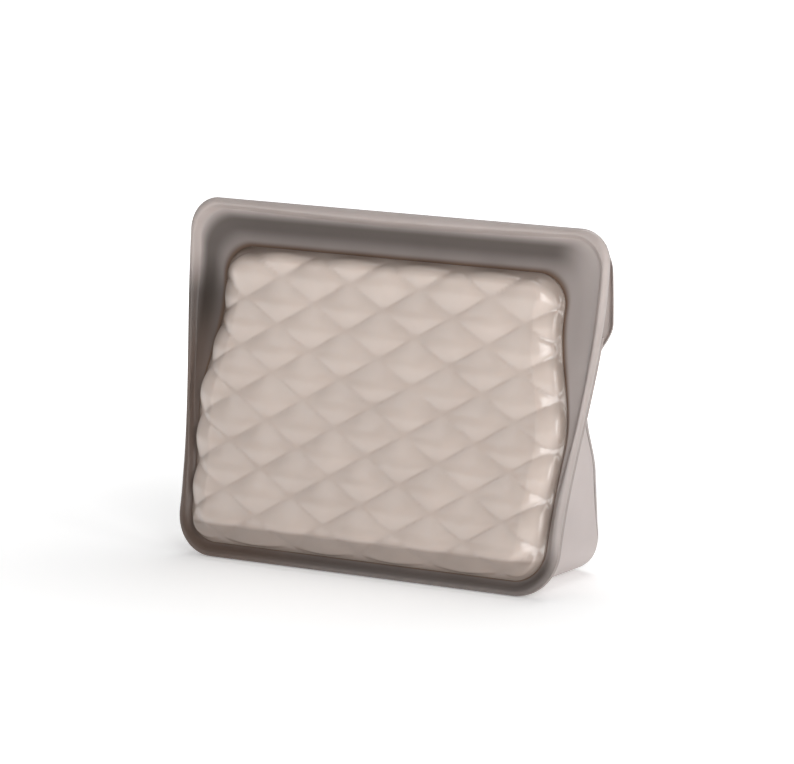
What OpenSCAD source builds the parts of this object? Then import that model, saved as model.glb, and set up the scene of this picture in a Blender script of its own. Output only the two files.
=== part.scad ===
// Stand-up reusable silicone food bag with quilted walls, a moulded tub and a
// press-to-close mouth. The origin is at the bottom centre of the bag, +Z is up,
// the front wall faces -Y and the long side of the mouth runs along X.

/* [Bag] */
// Height of the bag over the lips
bag_h = 139.7; // [120:0.1:180]
// Width of the bag over the mouth flanges
bag_w = 190.5; // [150:0.1:240]
// Depth of the bag over its pillows
bag_d = 63.5; // [50:0.1:80]
// How much narrower each side is at the floor than at the mouth
side_taper = 8.8; // [4:0.1:14]
// Radius of the two lower corners
low_corner_r = 17; // [12:1:20]
// Radius of the two upper corners
top_corner_r = 12.5; // [8:0.5:16]

/* [Walls] */
// Thickness of the moulded walls
wall_t = 1.6; // [1.2:0.1:2]
// Thickness of the flanges beside the seal
mouth_t = 1.2; // [1:0.1:1.4]
// Rearward lean of the front wall, in mm for each mm of height
front_lean = 0.2555; // [0.24:0.0001:0.27]
// Forward lean of the rear wall, in mm for each mm of height
rear_lean = 0.2075; // [0.19:0.0001:0.21]
// Height above which both walls bend upright towards the mouth
bend_z = 60; // [50:1:70]

/* [Quilted pillows] */
// How far each pillow stands out of its wall
pillow_d = 6.9; // [5:0.1:9]
// Lower edge of the front pillow
pillow_low = 6; // [5:0.5:9]
// Lower edge of the rear pillow
rear_low = 0.8; // [0.5:0.1:2]
// Upper edge of both pillows
pillow_top = 121.5; // [110:0.5:122]
// Border beside the front pillow near the floor
border_low = 5.5; // [5:0.25:8]
// Border beside both pillows near the mouth
border_top = 17.5; // [12:0.5:20]
// Width of the rounded edge of a pillow
pillow_round = 9; // [6:0.5:12]

/* [Mouth] */
// Where the frames end and the mouth flanges start
flange_z = 122.5; // [122:0.5:124]
// Where the flared lips start
lip_z = 134.5; // [133:0.5:136]
// Depth of the finger cove below each lip
cove_d = 0.6; // [0.2:0.1:0.8]
// How far each lip flares outwards
lip_flare = 1.8; // [0.5:0.1:2.5]
// Height of the press seal above the floor
seal_z = 128.5; // [127:0.5:130]
// Half length of the press seal
seal_half = 80; // [70:1:84]

/* [Tub] */
// How far the tub's side walls sit inside the bag's outline at the front
tub_inset = 9; // [8:0.5:12]
// How far they sit inside it at the rear near the floor
rear_inset = 9; // [8:0.5:12]
// How far they sit inside it at the rear's waist, below the flange
waist_inset = 13; // [11:0.5:15]
// Width of the tub's bonded rim
rim_w = 10.5; // [10:0.5:12]
// Thickness of the tub's bonded rim
rim_t = 2; // [1.5:0.1:2.4]
// Height where the rim and gussets end and the side seams start
seam_z = 100; // [90:1:104]
// Gap between the front wall or rear wall and the pieces that they close on
gap = 0.3; // [0.2:0.05:0.4]

/* [Hidden] */
half_w = bag_w / 2;
flare_low = 18;       // height where the sides start to widen
flare_z = 125;        // height at which they reach their full width
border_z = [55, 105]; // heights between which the borders widen
waist_z = [42, 66];   // heights between which the tub's rear draws in to its waist
wing_z = [80, 104];   // heights between which the rear wall widens to its flange
cove_z = [127, 131];  // heights between which the finger cove is deepest
frame_rise = 0.5;     // how far the front frame's edge is inside the bag's outline
rear_frame_z = 70;    // lower edge of the rear frame
pillow_corner_r = low_corner_r - 4; // radius of a pillow's lower corners
tub_corner_r = low_corner_r - 1;    // radius of the tub's lower corners
mouth_lean_f = 0.07;  // lean of the front wall at the lips
mouth_lean_r = 0.05;  // lean of the rear wall at the lips
front_foot = bag_d / 2 - pillow_d + front_lean * (pillow_low + pillow_round - 1);
rear_foot = bag_d / 2 - pillow_d + rear_lean * (rear_low + pillow_round - 1);
step_z = 5;           // height of one facet of a bent wall
mouth_steps = 4;      // facets of that height's share above the pillows
side_steps = 14;      // facets on the straight part of an outline
corner_steps = 7;     // facets on a corner of an outline
dome_steps = 5;       // facets on a pillow's rounded edge
joint_gap = 0.1;      // gap between pieces that are bonded together
rib_h = 1.6;          // height of the seal's rib
rib_d = 1.5;          // how far the seal's rib and channel stand out
channel_clear = 0.3;  // gap above and below the rib
silicone = [0.66, 0.60, 0.56];
pillow_silicone = [0.80, 0.74, 0.69];
seal_silicone = [0.52, 0.47, 0.44];

// Outlines of the bag, the pillows and the tub
BAG = 0;
FRONT_PILLOW = 1;
REAR_PILLOW = 2;
TUB_FRONT = 3;
TUB_REAR = 4;
REAR_WING = 5;
RIM = 6;

// ---- Rules that the whole bag follows ----

// 0 below a, 1 above b and an even S between them
function ease(a, b, v) = let (t = min(1, max(0, (v - a) / (b - a)))) t * t * (3 - 2 * t);

// Half width of the bag at height z, without its corners
function side_x(z) = half_w - side_taper * (1 - ease(flare_low, flare_z, z));

// How far the rear edge of the tub sits inside the bag's sides at height z
function rear_side(z) = rear_inset + (waist_inset - rear_inset) * ease(waist_z[0], waist_z[1], z);

// How far an outline sits inside the bag's sides at height z
function inset_at(kind, z) =
  kind == FRONT_PILLOW ? border_low + (border_top - border_low) * ease(border_z[0], border_z[1], z) :
  kind == REAR_PILLOW ? rear_side(z) + (border_top - rear_side(z)) * ease(border_z[0], border_z[1], z) :
  kind == TUB_FRONT ? tub_inset :
  kind == TUB_REAR ? rear_side(z) :
  kind == REAR_WING ? rear_side(z) * (1 - ease(wing_z[0], wing_z[1], z)) :
  kind == RIM ? rim_w : 0;

// Right-hand half of an outline from its lowest to its highest point, with corners
// of radius r0 below and r1 above, drawn in by a further distance
function half_outline(kind, z0, z1, r0, r1, further = 0) = [
  for (i = [0:corner_steps])
    let (a = 90 * i / corner_steps, z = z0 + r0 * (1 - cos(a)))
    [side_x(z) - inset_at(kind, z) - further - r0 * (1 - sin(a)), z],
  for (i = [1:side_steps - 1])
    let (z = z0 + r0 + (z1 - r1 - z0 - r0) * i / side_steps)
    [side_x(z) - inset_at(kind, z) - further, z],
  for (i = [corner_steps:-1:0])
    let (a = 90 * i / corner_steps, z = z1 - r1 * (1 - cos(a)))
    [side_x(z) - inset_at(kind, z) - further - r1 * (1 - sin(a)), z]
];

function whole_outline(half) =
  concat(half, [for (i = [len(half) - 1:-1:0]) [-half[i][0], half[i][1]]]);

// A wall leans evenly up to bend_z, and less and less above it
function leaned(foot, lean, top_lean, z) =
  let (over = max(0, z - bend_z), fall = (lean - top_lean) / (bag_h - bend_z))
  foot - lean * z + fall * over * over / 2;

// The cove below the lips and the lips' flare, measured inwards
function mouth_curve(z) =
  cove_d * (ease(flange_z, cove_z[0], z) - ease(cove_z[1], lip_z + 1, z))
  - lip_flare * pow(max(0, (z - lip_z) / (bag_h - lip_z)), 1.5);

// Outer faces of the front and rear walls at height z
function front_y(z) = -leaned(front_foot, front_lean, mouth_lean_f, z) + mouth_curve(z);
function rear_y(z) = leaned(rear_foot, rear_lean, mouth_lean_r, z) - mouth_curve(z);

// ---- Shapes shared by several pieces ----

// An outline in X and Z, as a prism through the whole depth of the bag
module prism(half) {
  translate([0, bag_d, 0]) rotate([90, 0, 0]) linear_extrude(2 * bag_d)
    polygon(whole_outline(half));
}

module bag_prism(further = 0) {
  prism(half_outline(BAG, further, bag_h, low_corner_r - further, top_corner_r, further));
}

// A bent sheet across the whole width: its front face is in_f inside the front wall's
// outer face, or its rear face is in_r inside the rear wall's, and it is t thick.
// With both given it fills the space between them.
module bent_sheet(z0, z1, t, in_f = undef, in_r = undef) {
  n = ceil((z1 - z0) / step_z) * (z0 < flange_z ? 1 : mouth_steps);
  up = [for (i = [0:n]) z0 + (z1 - z0) * i / n];
  low_y = [for (z = up) is_undef(in_f) ? rear_y(z) - in_r - t : front_y(z) + in_f];
  high_y = [for (z = up) is_undef(in_r) ? front_y(z) + in_f + t : rear_y(z) - in_r];
  rotate([90, 0, 90]) translate([0, 0, -half_w - 1]) linear_extrude(bag_w + 2)
    polygon(concat(
      [for (i = [0:n]) [low_y[i], up[i]]],
      [for (i = [n:-1:0]) [high_y[i], up[i]]]
    ));
}

// One ring of a pillow's skin at the angle a of its rounded edge
function pillow_ring(kind, low, a, skin) =
  let (
    s = skin + (pillow_round - skin) * (1 - cos(a)),
    out = (pillow_d + wall_t - skin) * sin(a),
    half = half_outline(kind, low + s, pillow_top - s, pillow_corner_r - s, top_corner_r - s, s)
  )
  [for (p = whole_outline(half))
    [p[0], kind == FRONT_PILLOW ? front_y(p[1]) + wall_t - out : rear_y(p[1]) - wall_t + out, p[1]]];

// A pillow: a shell of even thickness, with a rounded edge and a face that follows
// the lean of its wall
module pillow(kind, low) {
  angles = [for (i = [0:dome_steps]) 90 * i / dome_steps];
  rings = concat(
    [for (i = [dome_steps:-1:0]) pillow_ring(kind, low, angles[i], wall_t)],
    [for (i = [0:dome_steps]) pillow_ring(kind, low, angles[i], 0)]
  );
  n = len(rings[0]);
  last = len(rings) - 1;
  flip = kind == FRONT_PILLOW;
  skin = [for (r = [0:last - 1]) for (i = [0:n - 1])
    let (j = (i + 1) % n) [r * n + i, r * n + j, r * n + n + j, r * n + n + i]];
  lower_cap = [for (i = [0:n / 2 - 2]) [n - 1 - i, n - 2 - i, i + 1, i]];
  upper_cap = [for (f = lower_cap) [for (k = [3:-1:0]) f[k] + last * n]];
  faces = concat(skin, lower_cap, upper_cap);
  polyhedron(
    points = [for (ring = rings) for (p = ring) p],
    faces = flip ? faces : [for (f = faces) [for (k = [3:-1:0]) f[k]]],
    convexity = 6
  );
}

// The tub's wall from step a to step b of its outline, side by side from the middle
// of the base (0) round a lower corner and up to the side seam
tub_steps = corner_steps + side_steps + 1;

function tub_point(kind, step, skin) =
  let (
    z0 = skin,
    r = tub_corner_r - skin,
    a = 90 * min(1, max(0, (step - 1) / corner_steps)),
    up = max(0, (step - 1 - corner_steps) / side_steps),
    z = step <= 1 + corner_steps ? z0 + r * (1 - cos(a)) : z0 + r + (seam_z - z0 - r) * up,
    x = side_x(z) - inset_at(kind, z) - skin - r * (1 - sin(a))
  )
  [step == 0 ? 0 : x, kind == TUB_FRONT ? front_y(z) + wall_t + gap + rim_t + joint_gap
    : rear_y(z) - wall_t - gap, z];

module tub_wall(a, b) {
  sections = [for (s = [a:b]) [
    tub_point(TUB_FRONT, s, 0), tub_point(TUB_REAR, s, 0),
    tub_point(TUB_REAR, s, wall_t), tub_point(TUB_FRONT, s, wall_t)
  ]];
  last = b - a;
  polyhedron(
    points = [for (s = sections) for (p = s) p],
    faces = concat(
      [[0, 1, 2, 3], [4 * last + 3, 4 * last + 2, 4 * last + 1, 4 * last]],
      [for (s = [0:last - 1]) for (k = [0:3]) for (half = [0, 1])
        let (m = (k + 1) % 4)
        half == 0 ? [4 * s + k, 4 * s + 4 + k, 4 * s + 4 + m]
          : [4 * s + k, 4 * s + 4 + m, 4 * s + m]]
    ),
    convexity = 6
  );
}

// ---- Front wall ----

module front_frame() {
  color(silicone) difference() {
    intersection() {
      bent_sheet(frame_rise, flange_z - joint_gap, wall_t, in_f = 0);
      bag_prism(frame_rise);
    }
    prism(half_outline(FRONT_PILLOW, pillow_low, pillow_top, pillow_corner_r, top_corner_r,
      -joint_gap));
  }
}

module front_pillow() {
  color(pillow_silicone) pillow(FRONT_PILLOW, pillow_low);
}

module front_flange() {
  color(silicone) intersection() {
    bent_sheet(flange_z, lip_z - joint_gap, mouth_t, in_f = 0);
    bag_prism();
  }
}

module front_lip() {
  color(silicone) intersection() {
    bent_sheet(lip_z, bag_h, wall_t, in_f = 0);
    bag_prism();
  }
}

// The rib has a round bead that snaps past the channel's edges
module seal_rib() {
  color(seal_silicone) {
    y = max(front_y(seal_z - rib_h / 2), front_y(seal_z + rib_h / 2)) + mouth_t + joint_gap;
    translate([-seal_half, y, seal_z - rib_h / 4]) cube([2 * seal_half, rib_d / 2, rib_h / 2]);
    translate([-seal_half, y + rib_d / 2, seal_z]) rotate([0, 90, 0])
      cylinder(d = rib_h, h = 2 * seal_half, $fn = 32);
  }
}

// ---- Rear wall ----

module rear_frame() {
  color(silicone) difference() {
    intersection() {
      bent_sheet(rear_frame_z, flange_z - joint_gap, wall_t, in_r = 0);
      prism(half_outline(REAR_WING, 0, bag_h, low_corner_r, top_corner_r));
    }
    prism(half_outline(REAR_PILLOW, rear_low, pillow_top, pillow_corner_r, top_corner_r,
      -joint_gap));
  }
}

module rear_pillow() {
  color(pillow_silicone) pillow(REAR_PILLOW, rear_low);
}

module rear_flange() {
  color(silicone) intersection() {
    bent_sheet(flange_z, lip_z - joint_gap, mouth_t, in_r = 0);
    bag_prism();
  }
}

module rear_lip() {
  color(silicone) intersection() {
    bent_sheet(lip_z, bag_h, wall_t, in_r = 0);
    bag_prism();
  }
}

// Two ridges that the rib presses in between
module seal_channel() {
  color(seal_silicone) for (side = [-1, 1]) {
    z = seal_z + side * (rib_h + channel_clear);
    face = min(rear_y(z - rib_h / 2), rear_y(z), rear_y(z + rib_h / 2));
    translate([-seal_half, face - mouth_t - joint_gap - rib_d, z - rib_h / 2])
      cube([2 * seal_half, rib_d, rib_h]);
  }
}

// ---- Tub ----

module tub_rim() {
  color(silicone) difference() {
    intersection() {
      bent_sheet(0, seam_z - joint_gap, rim_t, in_f = wall_t + gap);
      bag_prism();
    }
    prism(half_outline(RIM, wall_t, bag_h, low_corner_r - 3, top_corner_r));
  }
}

module tub_base() {
  color(silicone) {
    union() {
      tub_wall(0, 1);
      mirror([1, 0, 0]) tub_wall(0, 1);
    }
  }
}

module right_gusset() {
  color(silicone) tub_wall(1, tub_steps);
}

module left_gusset() {
  color(silicone) mirror([1, 0, 0]) tub_wall(1, tub_steps);
}

// The fused ends of the mouth, between the front and rear walls
module right_side_seam() {
  color(silicone) intersection() {
    difference() {
      bent_sheet(seam_z, lip_z - joint_gap, 1, in_f = wall_t + gap, in_r = wall_t + gap);
      prism(half_outline(RIM, 0, bag_h + 20, low_corner_r, top_corner_r));
    }
    bag_prism(0.6);
    translate([0, -bag_d, 0]) cube([bag_w, 2 * bag_d, bag_h]);
  }
}

module left_side_seam() {
  mirror([1, 0, 0]) right_side_seam();
}

front_frame();
front_pillow();
front_flange();
front_lip();
seal_rib();
rear_frame();
rear_pillow();
rear_flange();
rear_lip();
seal_channel();
tub_rim();
tub_base();
left_gusset();
right_gusset();
left_side_seam();
right_side_seam();
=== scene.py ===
"""Looks of a stand-up reusable silicone bag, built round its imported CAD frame.

The sizes of the bag's own classes are in millimetres, the unit that its mould is drawn in. They become
metres only when a mesh is made or a material is scaled. The studio's sizes are in metres.
"""

from __future__ import annotations

import logging
import math
from collections.abc import Callable
from dataclasses import dataclass, replace
from enum import Enum
from functools import partial

import bmesh
import bpy
import numpy as np
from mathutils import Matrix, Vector


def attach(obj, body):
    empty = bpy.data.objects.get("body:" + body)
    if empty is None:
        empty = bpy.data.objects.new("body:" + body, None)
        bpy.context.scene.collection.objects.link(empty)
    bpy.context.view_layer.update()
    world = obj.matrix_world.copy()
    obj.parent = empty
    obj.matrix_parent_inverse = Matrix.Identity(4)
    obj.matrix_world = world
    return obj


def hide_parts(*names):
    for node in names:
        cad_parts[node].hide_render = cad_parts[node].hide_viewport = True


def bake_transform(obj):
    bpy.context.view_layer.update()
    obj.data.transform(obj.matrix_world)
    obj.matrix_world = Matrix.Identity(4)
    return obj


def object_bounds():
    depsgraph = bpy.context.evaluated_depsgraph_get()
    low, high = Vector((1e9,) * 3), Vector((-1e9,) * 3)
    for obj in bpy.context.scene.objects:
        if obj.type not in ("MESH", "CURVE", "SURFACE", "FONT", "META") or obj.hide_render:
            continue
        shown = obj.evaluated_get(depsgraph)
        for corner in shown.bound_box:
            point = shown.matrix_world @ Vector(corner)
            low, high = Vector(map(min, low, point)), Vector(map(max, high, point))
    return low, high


MM = 0.001
MATH = "ShaderNodeMath"
VECTOR_MATH = "ShaderNodeVectorMath"
MAP_RANGE = "ShaderNodeMapRange"

Number = float | np.ndarray
Rule = Callable[[Number], Number]
Face = tuple[int, ...]
Triple = tuple[float, float, float]

log = logging.getLogger("silicone_bag")
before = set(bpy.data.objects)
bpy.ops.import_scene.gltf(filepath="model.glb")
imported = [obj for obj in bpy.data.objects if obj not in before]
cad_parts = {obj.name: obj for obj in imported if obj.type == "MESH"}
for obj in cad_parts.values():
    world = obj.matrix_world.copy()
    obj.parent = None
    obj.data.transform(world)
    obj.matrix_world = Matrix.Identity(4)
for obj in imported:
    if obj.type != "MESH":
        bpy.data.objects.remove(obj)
CAD_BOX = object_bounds()


class Side(Enum):
    """The two walls of the bag; the value is the way the wall faces along Y."""

    FRONT = -1
    REAR = 1


# ---------------------------------------------------------------- rules of the form


def ease(low: float, high: float, value: Number) -> Number:
    """Runs from 0 to 1 between two values in an even S.

    Args:
        low: Value at which the result is 0.
        high: Value at which the result is 1.
        value: One value or an array of them.

    Returns:
        The eased share.
    """
    t = np.clip((np.asarray(value, float) - low) / (high - low), 0.0, 1.0)
    return t * t * (3.0 - 2.0 * t)


def mix(low: Number, high: Number, share: Number) -> Number:
    """Goes from one value to another by a share."""
    return low + (high - low) * share


def quarter(steps: int) -> np.ndarray:
    """Angles of a quarter turn, from 0 to its end."""
    return np.radians(np.linspace(0.0, 90.0, steps + 1))


@dataclass(frozen=True)
class Corners:
    """Where an outline starts and ends in height, and the radii of its corners."""

    low: float
    high: float
    low_r: float
    high_r: float


@dataclass(frozen=True)
class Lean:
    """How one wall leans in: its slope at the foot and at the mouth, and where its pillow is widest."""

    foot: float
    mouth: float
    belly_z: float


@dataclass(frozen=True)
class BagForm:
    """The rules that every wall of the bag follows, worked out from the CAD box.

    A pair of heights, such as flare_z, says between which two a rule goes from none to all.
    """

    width: float
    depth: float
    height: float
    wall: float = 1.6
    side_taper: float = 8.8
    flare_z: tuple[float, float] = (18.0, 125.0)
    front_lean: Lean = Lean(0.2555, 0.07, 14.0)
    rear_lean: Lean = Lean(0.2075, 0.05, 8.8)
    bend_z: float = 60.0
    pillow_depth: float = 6.9
    pillow_top: float = 121.5
    border_top: float = 17.5
    border_z: tuple[float, float] = (55.0, 105.0)
    tub_inset: float = 9.0
    rear_inset: float = 9.0
    waist_inset: float = 13.0
    waist_z: tuple[float, float] = (42.0, 66.0)
    seam_z: float = 100.0
    mouth_curl: float = 0.6
    curl_z: tuple[float, float] = (70.0, 125.0)

    def side_x(self, z: Number) -> Number:
        """Half width of the bag at height z, without its corners."""
        return self.width / 2 - self.side_taper * (1 - ease(*self.flare_z, z))

    def rear_side(self, z: Number) -> Number:
        """How far the tub's rear edge is inside the bag's sides: most at its waist."""
        return mix(self.rear_inset, self.waist_inset, ease(*self.waist_z, z))

    def wall_y(self, side: Side, z: Number, x: Number = 0.0) -> Number:
        """Outer face of a wall at height z, before its cove, bead and pillow.

        Args:
            side: Which wall.
            z: Height above the floor.
            x: Distance from the middle; a wall curls in towards its ends by the mouth.

        Returns:
            The wall's place along Y.
        """
        lean = self.front_lean if side is Side.FRONT else self.rear_lean
        foot = self.depth / 2 - self.pillow_depth + lean.foot * lean.belly_z
        over = np.clip(np.asarray(z, float) - self.bend_z, 0.0, None)
        fall = (lean.foot - lean.mouth) / (self.height - self.bend_z)
        curl = self.mouth_curl * ease(*self.curl_z, z) * (np.abs(x) / (self.width / 2)) ** 6
        return side.value * (foot - lean.foot * np.asarray(z, float) + fall * over**2 / 2 - curl)

    def border(self, low: Number, z: Number) -> Number:
        """Width of the border beside a pillow: low near the floor, wider by the mouth."""
        return mix(low, self.border_top, ease(*self.border_z, z))


def half_outline(
    form: BagForm, inset: Rule, corners: Corners, steps: tuple[int, int, int] = (44, 18, 70)
) -> np.ndarray:
    """Right-hand half of an outline, from the middle of its foot to the middle of its top.

    Args:
        form: The bag's rules.
        inset: How far the outline is inside the bag's sides, by height.
        corners: Heights and corner radii of the outline.
        steps: Steps along the foot and the top, round a corner and up the side.

    Returns:
        Points of X and Z.
    """
    flat, arc, side = steps
    angle = quarter(arc)
    low_z = corners.low + corners.low_r * (1 - np.cos(angle))
    low_x = form.side_x(low_z) - inset(low_z) - corners.low_r * (1 - np.sin(angle))
    side_z = np.linspace(corners.low + corners.low_r, corners.high - corners.high_r, side + 1)[1:-1]
    side_x = form.side_x(side_z) - inset(side_z)
    high_z = corners.high - corners.high_r * (1 - np.cos(angle[::-1]))
    high_x = form.side_x(high_z) - inset(high_z) - corners.high_r * (1 - np.sin(angle[::-1]))
    foot = np.stack([np.linspace(0.0, low_x[0], flat + 1)[:-1], np.full(flat, low_z[0])], 1)
    top = np.stack([np.linspace(high_x[-1], 0.0, flat + 1)[1:], np.full(flat, high_z[-1])], 1)
    middle_x = np.concatenate([low_x, side_x, high_x])
    middle_z = np.concatenate([low_z, side_z, high_z])
    return np.concatenate([foot, np.stack([middle_x, middle_z], 1), top])


def closed_loop(half: np.ndarray) -> np.ndarray:
    """Adds the mirrored left-hand half to a right-hand half whose ends are on the middle."""
    return np.concatenate([half, half[-2:0:-1] * np.array([-1.0, 1.0])])


def open_run(half: np.ndarray) -> np.ndarray:
    """Adds the mirrored left-hand half in front of a right-hand half that starts on the middle."""
    return np.concatenate([half[:0:-1] * np.array([-1.0, 1.0]), half])


# ---------------------------------------------------------------- meshes


def make_object(
    name: str, points: np.ndarray, faces: list[Face], tones: dict[str, Number] | None = None
) -> bpy.types.Object:
    """Makes a smooth mesh object at the origin.

    Args:
        name: Name of the piece.
        points: Vertices in millimetres.
        faces: Vertex indices of each face, counter-clockwise from outside.
        tones: Values that the finishes read, for each vertex or for all, by attribute name.

    Returns:
        The new object, linked to the scene.
    """
    mesh = bpy.data.meshes.new(name)
    mesh.from_pydata((points * MM).tolist(), [], faces)
    for key, values in (tones or {}).items():
        layer = mesh.attributes.new(key, "FLOAT", "POINT")
        layer.data.foreach_set("value", np.full(len(points), values, np.float32))
    mesh.polygons.foreach_set("use_smooth", [True] * len(mesh.polygons))
    mesh.update()
    piece = bpy.data.objects.new(name, mesh)
    bpy.context.scene.collection.objects.link(piece)
    return piece


def grid_faces(rows: int, columns: int, wrap: bool = False, ring: bool = False) -> list[Face]:
    """Quads of a grid of vertices that is numbered row by row.

    Args:
        rows: Number of rows.
        columns: Number of columns.
        wrap: Whether the last column joins the first.
        ring: Whether the last row joins the first.

    Returns:
        The quads.
    """
    quads = []
    for r in range(rows if ring else rows - 1):
        this, following = r * columns, (r + 1) % rows * columns
        for c in range(columns if wrap else columns - 1):
            beside = (c + 1) % columns
            quads.append((this + c, this + beside, following + beside, following + c))
    return quads


def make_tube(
    name: str, loops: np.ndarray, tones: dict[str, Number], material: bpy.types.Material, ring: bool = False
) -> bpy.types.Object:
    """Makes a closed piece from a row of closed loops, either as a ring or with a cap at both ends.

    Args:
        name: Name of the piece.
        loops: Points by loop, place round the loop, and X, Y and Z.
        tones: Values that the finishes read, for each point or for all, by attribute name.
        material: The finish.
        ring: Whether the last loop joins the first.

    Returns:
        The piece, dressed.
    """
    rows, columns = loops.shape[:2]
    faces = grid_faces(rows, columns, wrap=True, ring=ring)
    if not ring:
        faces.append(tuple(range(columns)))
        faces.append(tuple(reversed(range((rows - 1) * columns, rows * columns))))
    piece = make_object(name, loops.reshape(-1, 3), faces, tones)
    close_up(piece)
    piece.data.materials.append(material)
    return piece


def bake_modifiers(piece: bpy.types.Object) -> None:
    """Replaces a piece's mesh by its evaluated one and takes its modifiers off.

    Args:
        piece: The piece, whose modifiers are set up.
    """
    graph = bpy.context.evaluated_depsgraph_get()
    mesh = bpy.data.meshes.new_from_object(piece.evaluated_get(graph))
    piece.modifiers.clear()
    old = piece.data
    piece.data = mesh
    bpy.data.meshes.remove(old)


def outward(piece: bpy.types.Object) -> None:
    """Turns a closed piece's faces outwards if its signed volume says they point in.

    Args:
        piece: A piece whose faces all point out or all point in.
    """
    mesh = piece.data
    mesh.calc_loop_triangles()
    points = np.array([v.co for v in mesh.vertices])
    corners = np.array([t.vertices for t in mesh.loop_triangles])
    a, b, c = points[corners[:, 0]], points[corners[:, 1]], points[corners[:, 2]]
    if np.einsum("ij,ij->i", a, np.cross(b, c)).sum() < 0:
        mesh.flip_normals()


def close_up(piece: bpy.types.Object, sharp_angle: float = 45.0) -> None:
    """Merges doubled points, closes open ends, turns the faces outwards and marks the sharp edges.

    Args:
        piece: A mesh that encloses a space, apart from its open ends.
        sharp_angle: Angle in degrees beyond which an edge is shaded sharp.
    """
    work = bmesh.new()
    work.from_mesh(piece.data)
    bmesh.ops.remove_doubles(work, verts=work.verts, dist=1e-6)
    bmesh.ops.dissolve_degenerate(work, edges=work.edges, dist=1e-7)
    open_edges = [e for e in work.edges if e.is_boundary]
    if open_edges:
        bmesh.ops.holes_fill(work, edges=open_edges, sides=0)
    bmesh.ops.recalc_face_normals(work, faces=work.faces)
    loose = [v for v in work.verts if not v.link_faces]
    bmesh.ops.delete(work, geom=loose, context="VERTS")
    work.to_mesh(piece.data)
    work.free()
    piece.data.polygons.foreach_set("use_smooth", [True] * len(piece.data.polygons))
    piece.data.set_sharp_from_angle(angle=math.radians(sharp_angle))
    piece.data.update()
    outward(piece)


def bow_from_sides(piece: bpy.types.Object) -> None:
    """Bakes a wall piece's transform into its mesh with its points folded to the right, then puts them
    back.

    Args:
        piece: A finished mesh.
    """
    mesh = piece.data
    places = np.zeros(len(mesh.vertices) * 3, np.float32)
    mesh.vertices.foreach_get("co", places)
    folded = places.copy()
    folded[0::3] = np.abs(folded[0::3])
    mesh.vertices.foreach_set("co", folded)
    mesh.update()
    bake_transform(piece)
    mesh.vertices.foreach_set("co", places)
    mesh.update()


def enter(piece: bpy.types.Object, slot: str, *nodes: str) -> None:
    """Hides the CAD nodes that a finished piece stands for, and logs its faces.

    Args:
        piece: A finished piece; those of the tub already ride on its body.
        slot: Name of its material slot; not used.
        nodes: The CAD nodes that it stands for.
    """
    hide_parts(*nodes)
    log.info("%s: %d faces", piece.name, len(piece.data.polygons))


# ---------------------------------------------------------------- finishes


def linear(hex_colour: str) -> tuple[float, float, float, float]:
    """Turns an sRGB hex colour into linear values.

    Args:
        hex_colour: Six hex digits.

    Returns:
        Red, green, blue and 1.
    """
    parts = [int(hex_colour[i : i + 2], 16) / 255 for i in (0, 2, 4)]
    red, green, blue = (p / 12.92 if p <= 0.04045 else ((p + 0.055) / 1.055) ** 2.4 for p in parts)
    return (red, green, blue, 1.0)


def add_node(
    tree: bpy.types.NodeTree, kind: str, links: dict | None = None, **settings: object
) -> bpy.types.Node:
    """Adds one node with its settings and links.

    Args:
        tree: The node tree.
        kind: The node's type.
        links: Input name or number to the output that feeds it, or to a value.
        settings: The node's own properties.

    Returns:
        The new node.
    """
    node = tree.nodes.new(kind)
    for key, value in settings.items():
        setattr(node, key, value)
    for key, value in (links or {}).items():
        if isinstance(value, bpy.types.NodeSocket):
            tree.links.new(value, node.inputs[key])
        else:
            node.inputs[key].default_value = value
    return node


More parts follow.
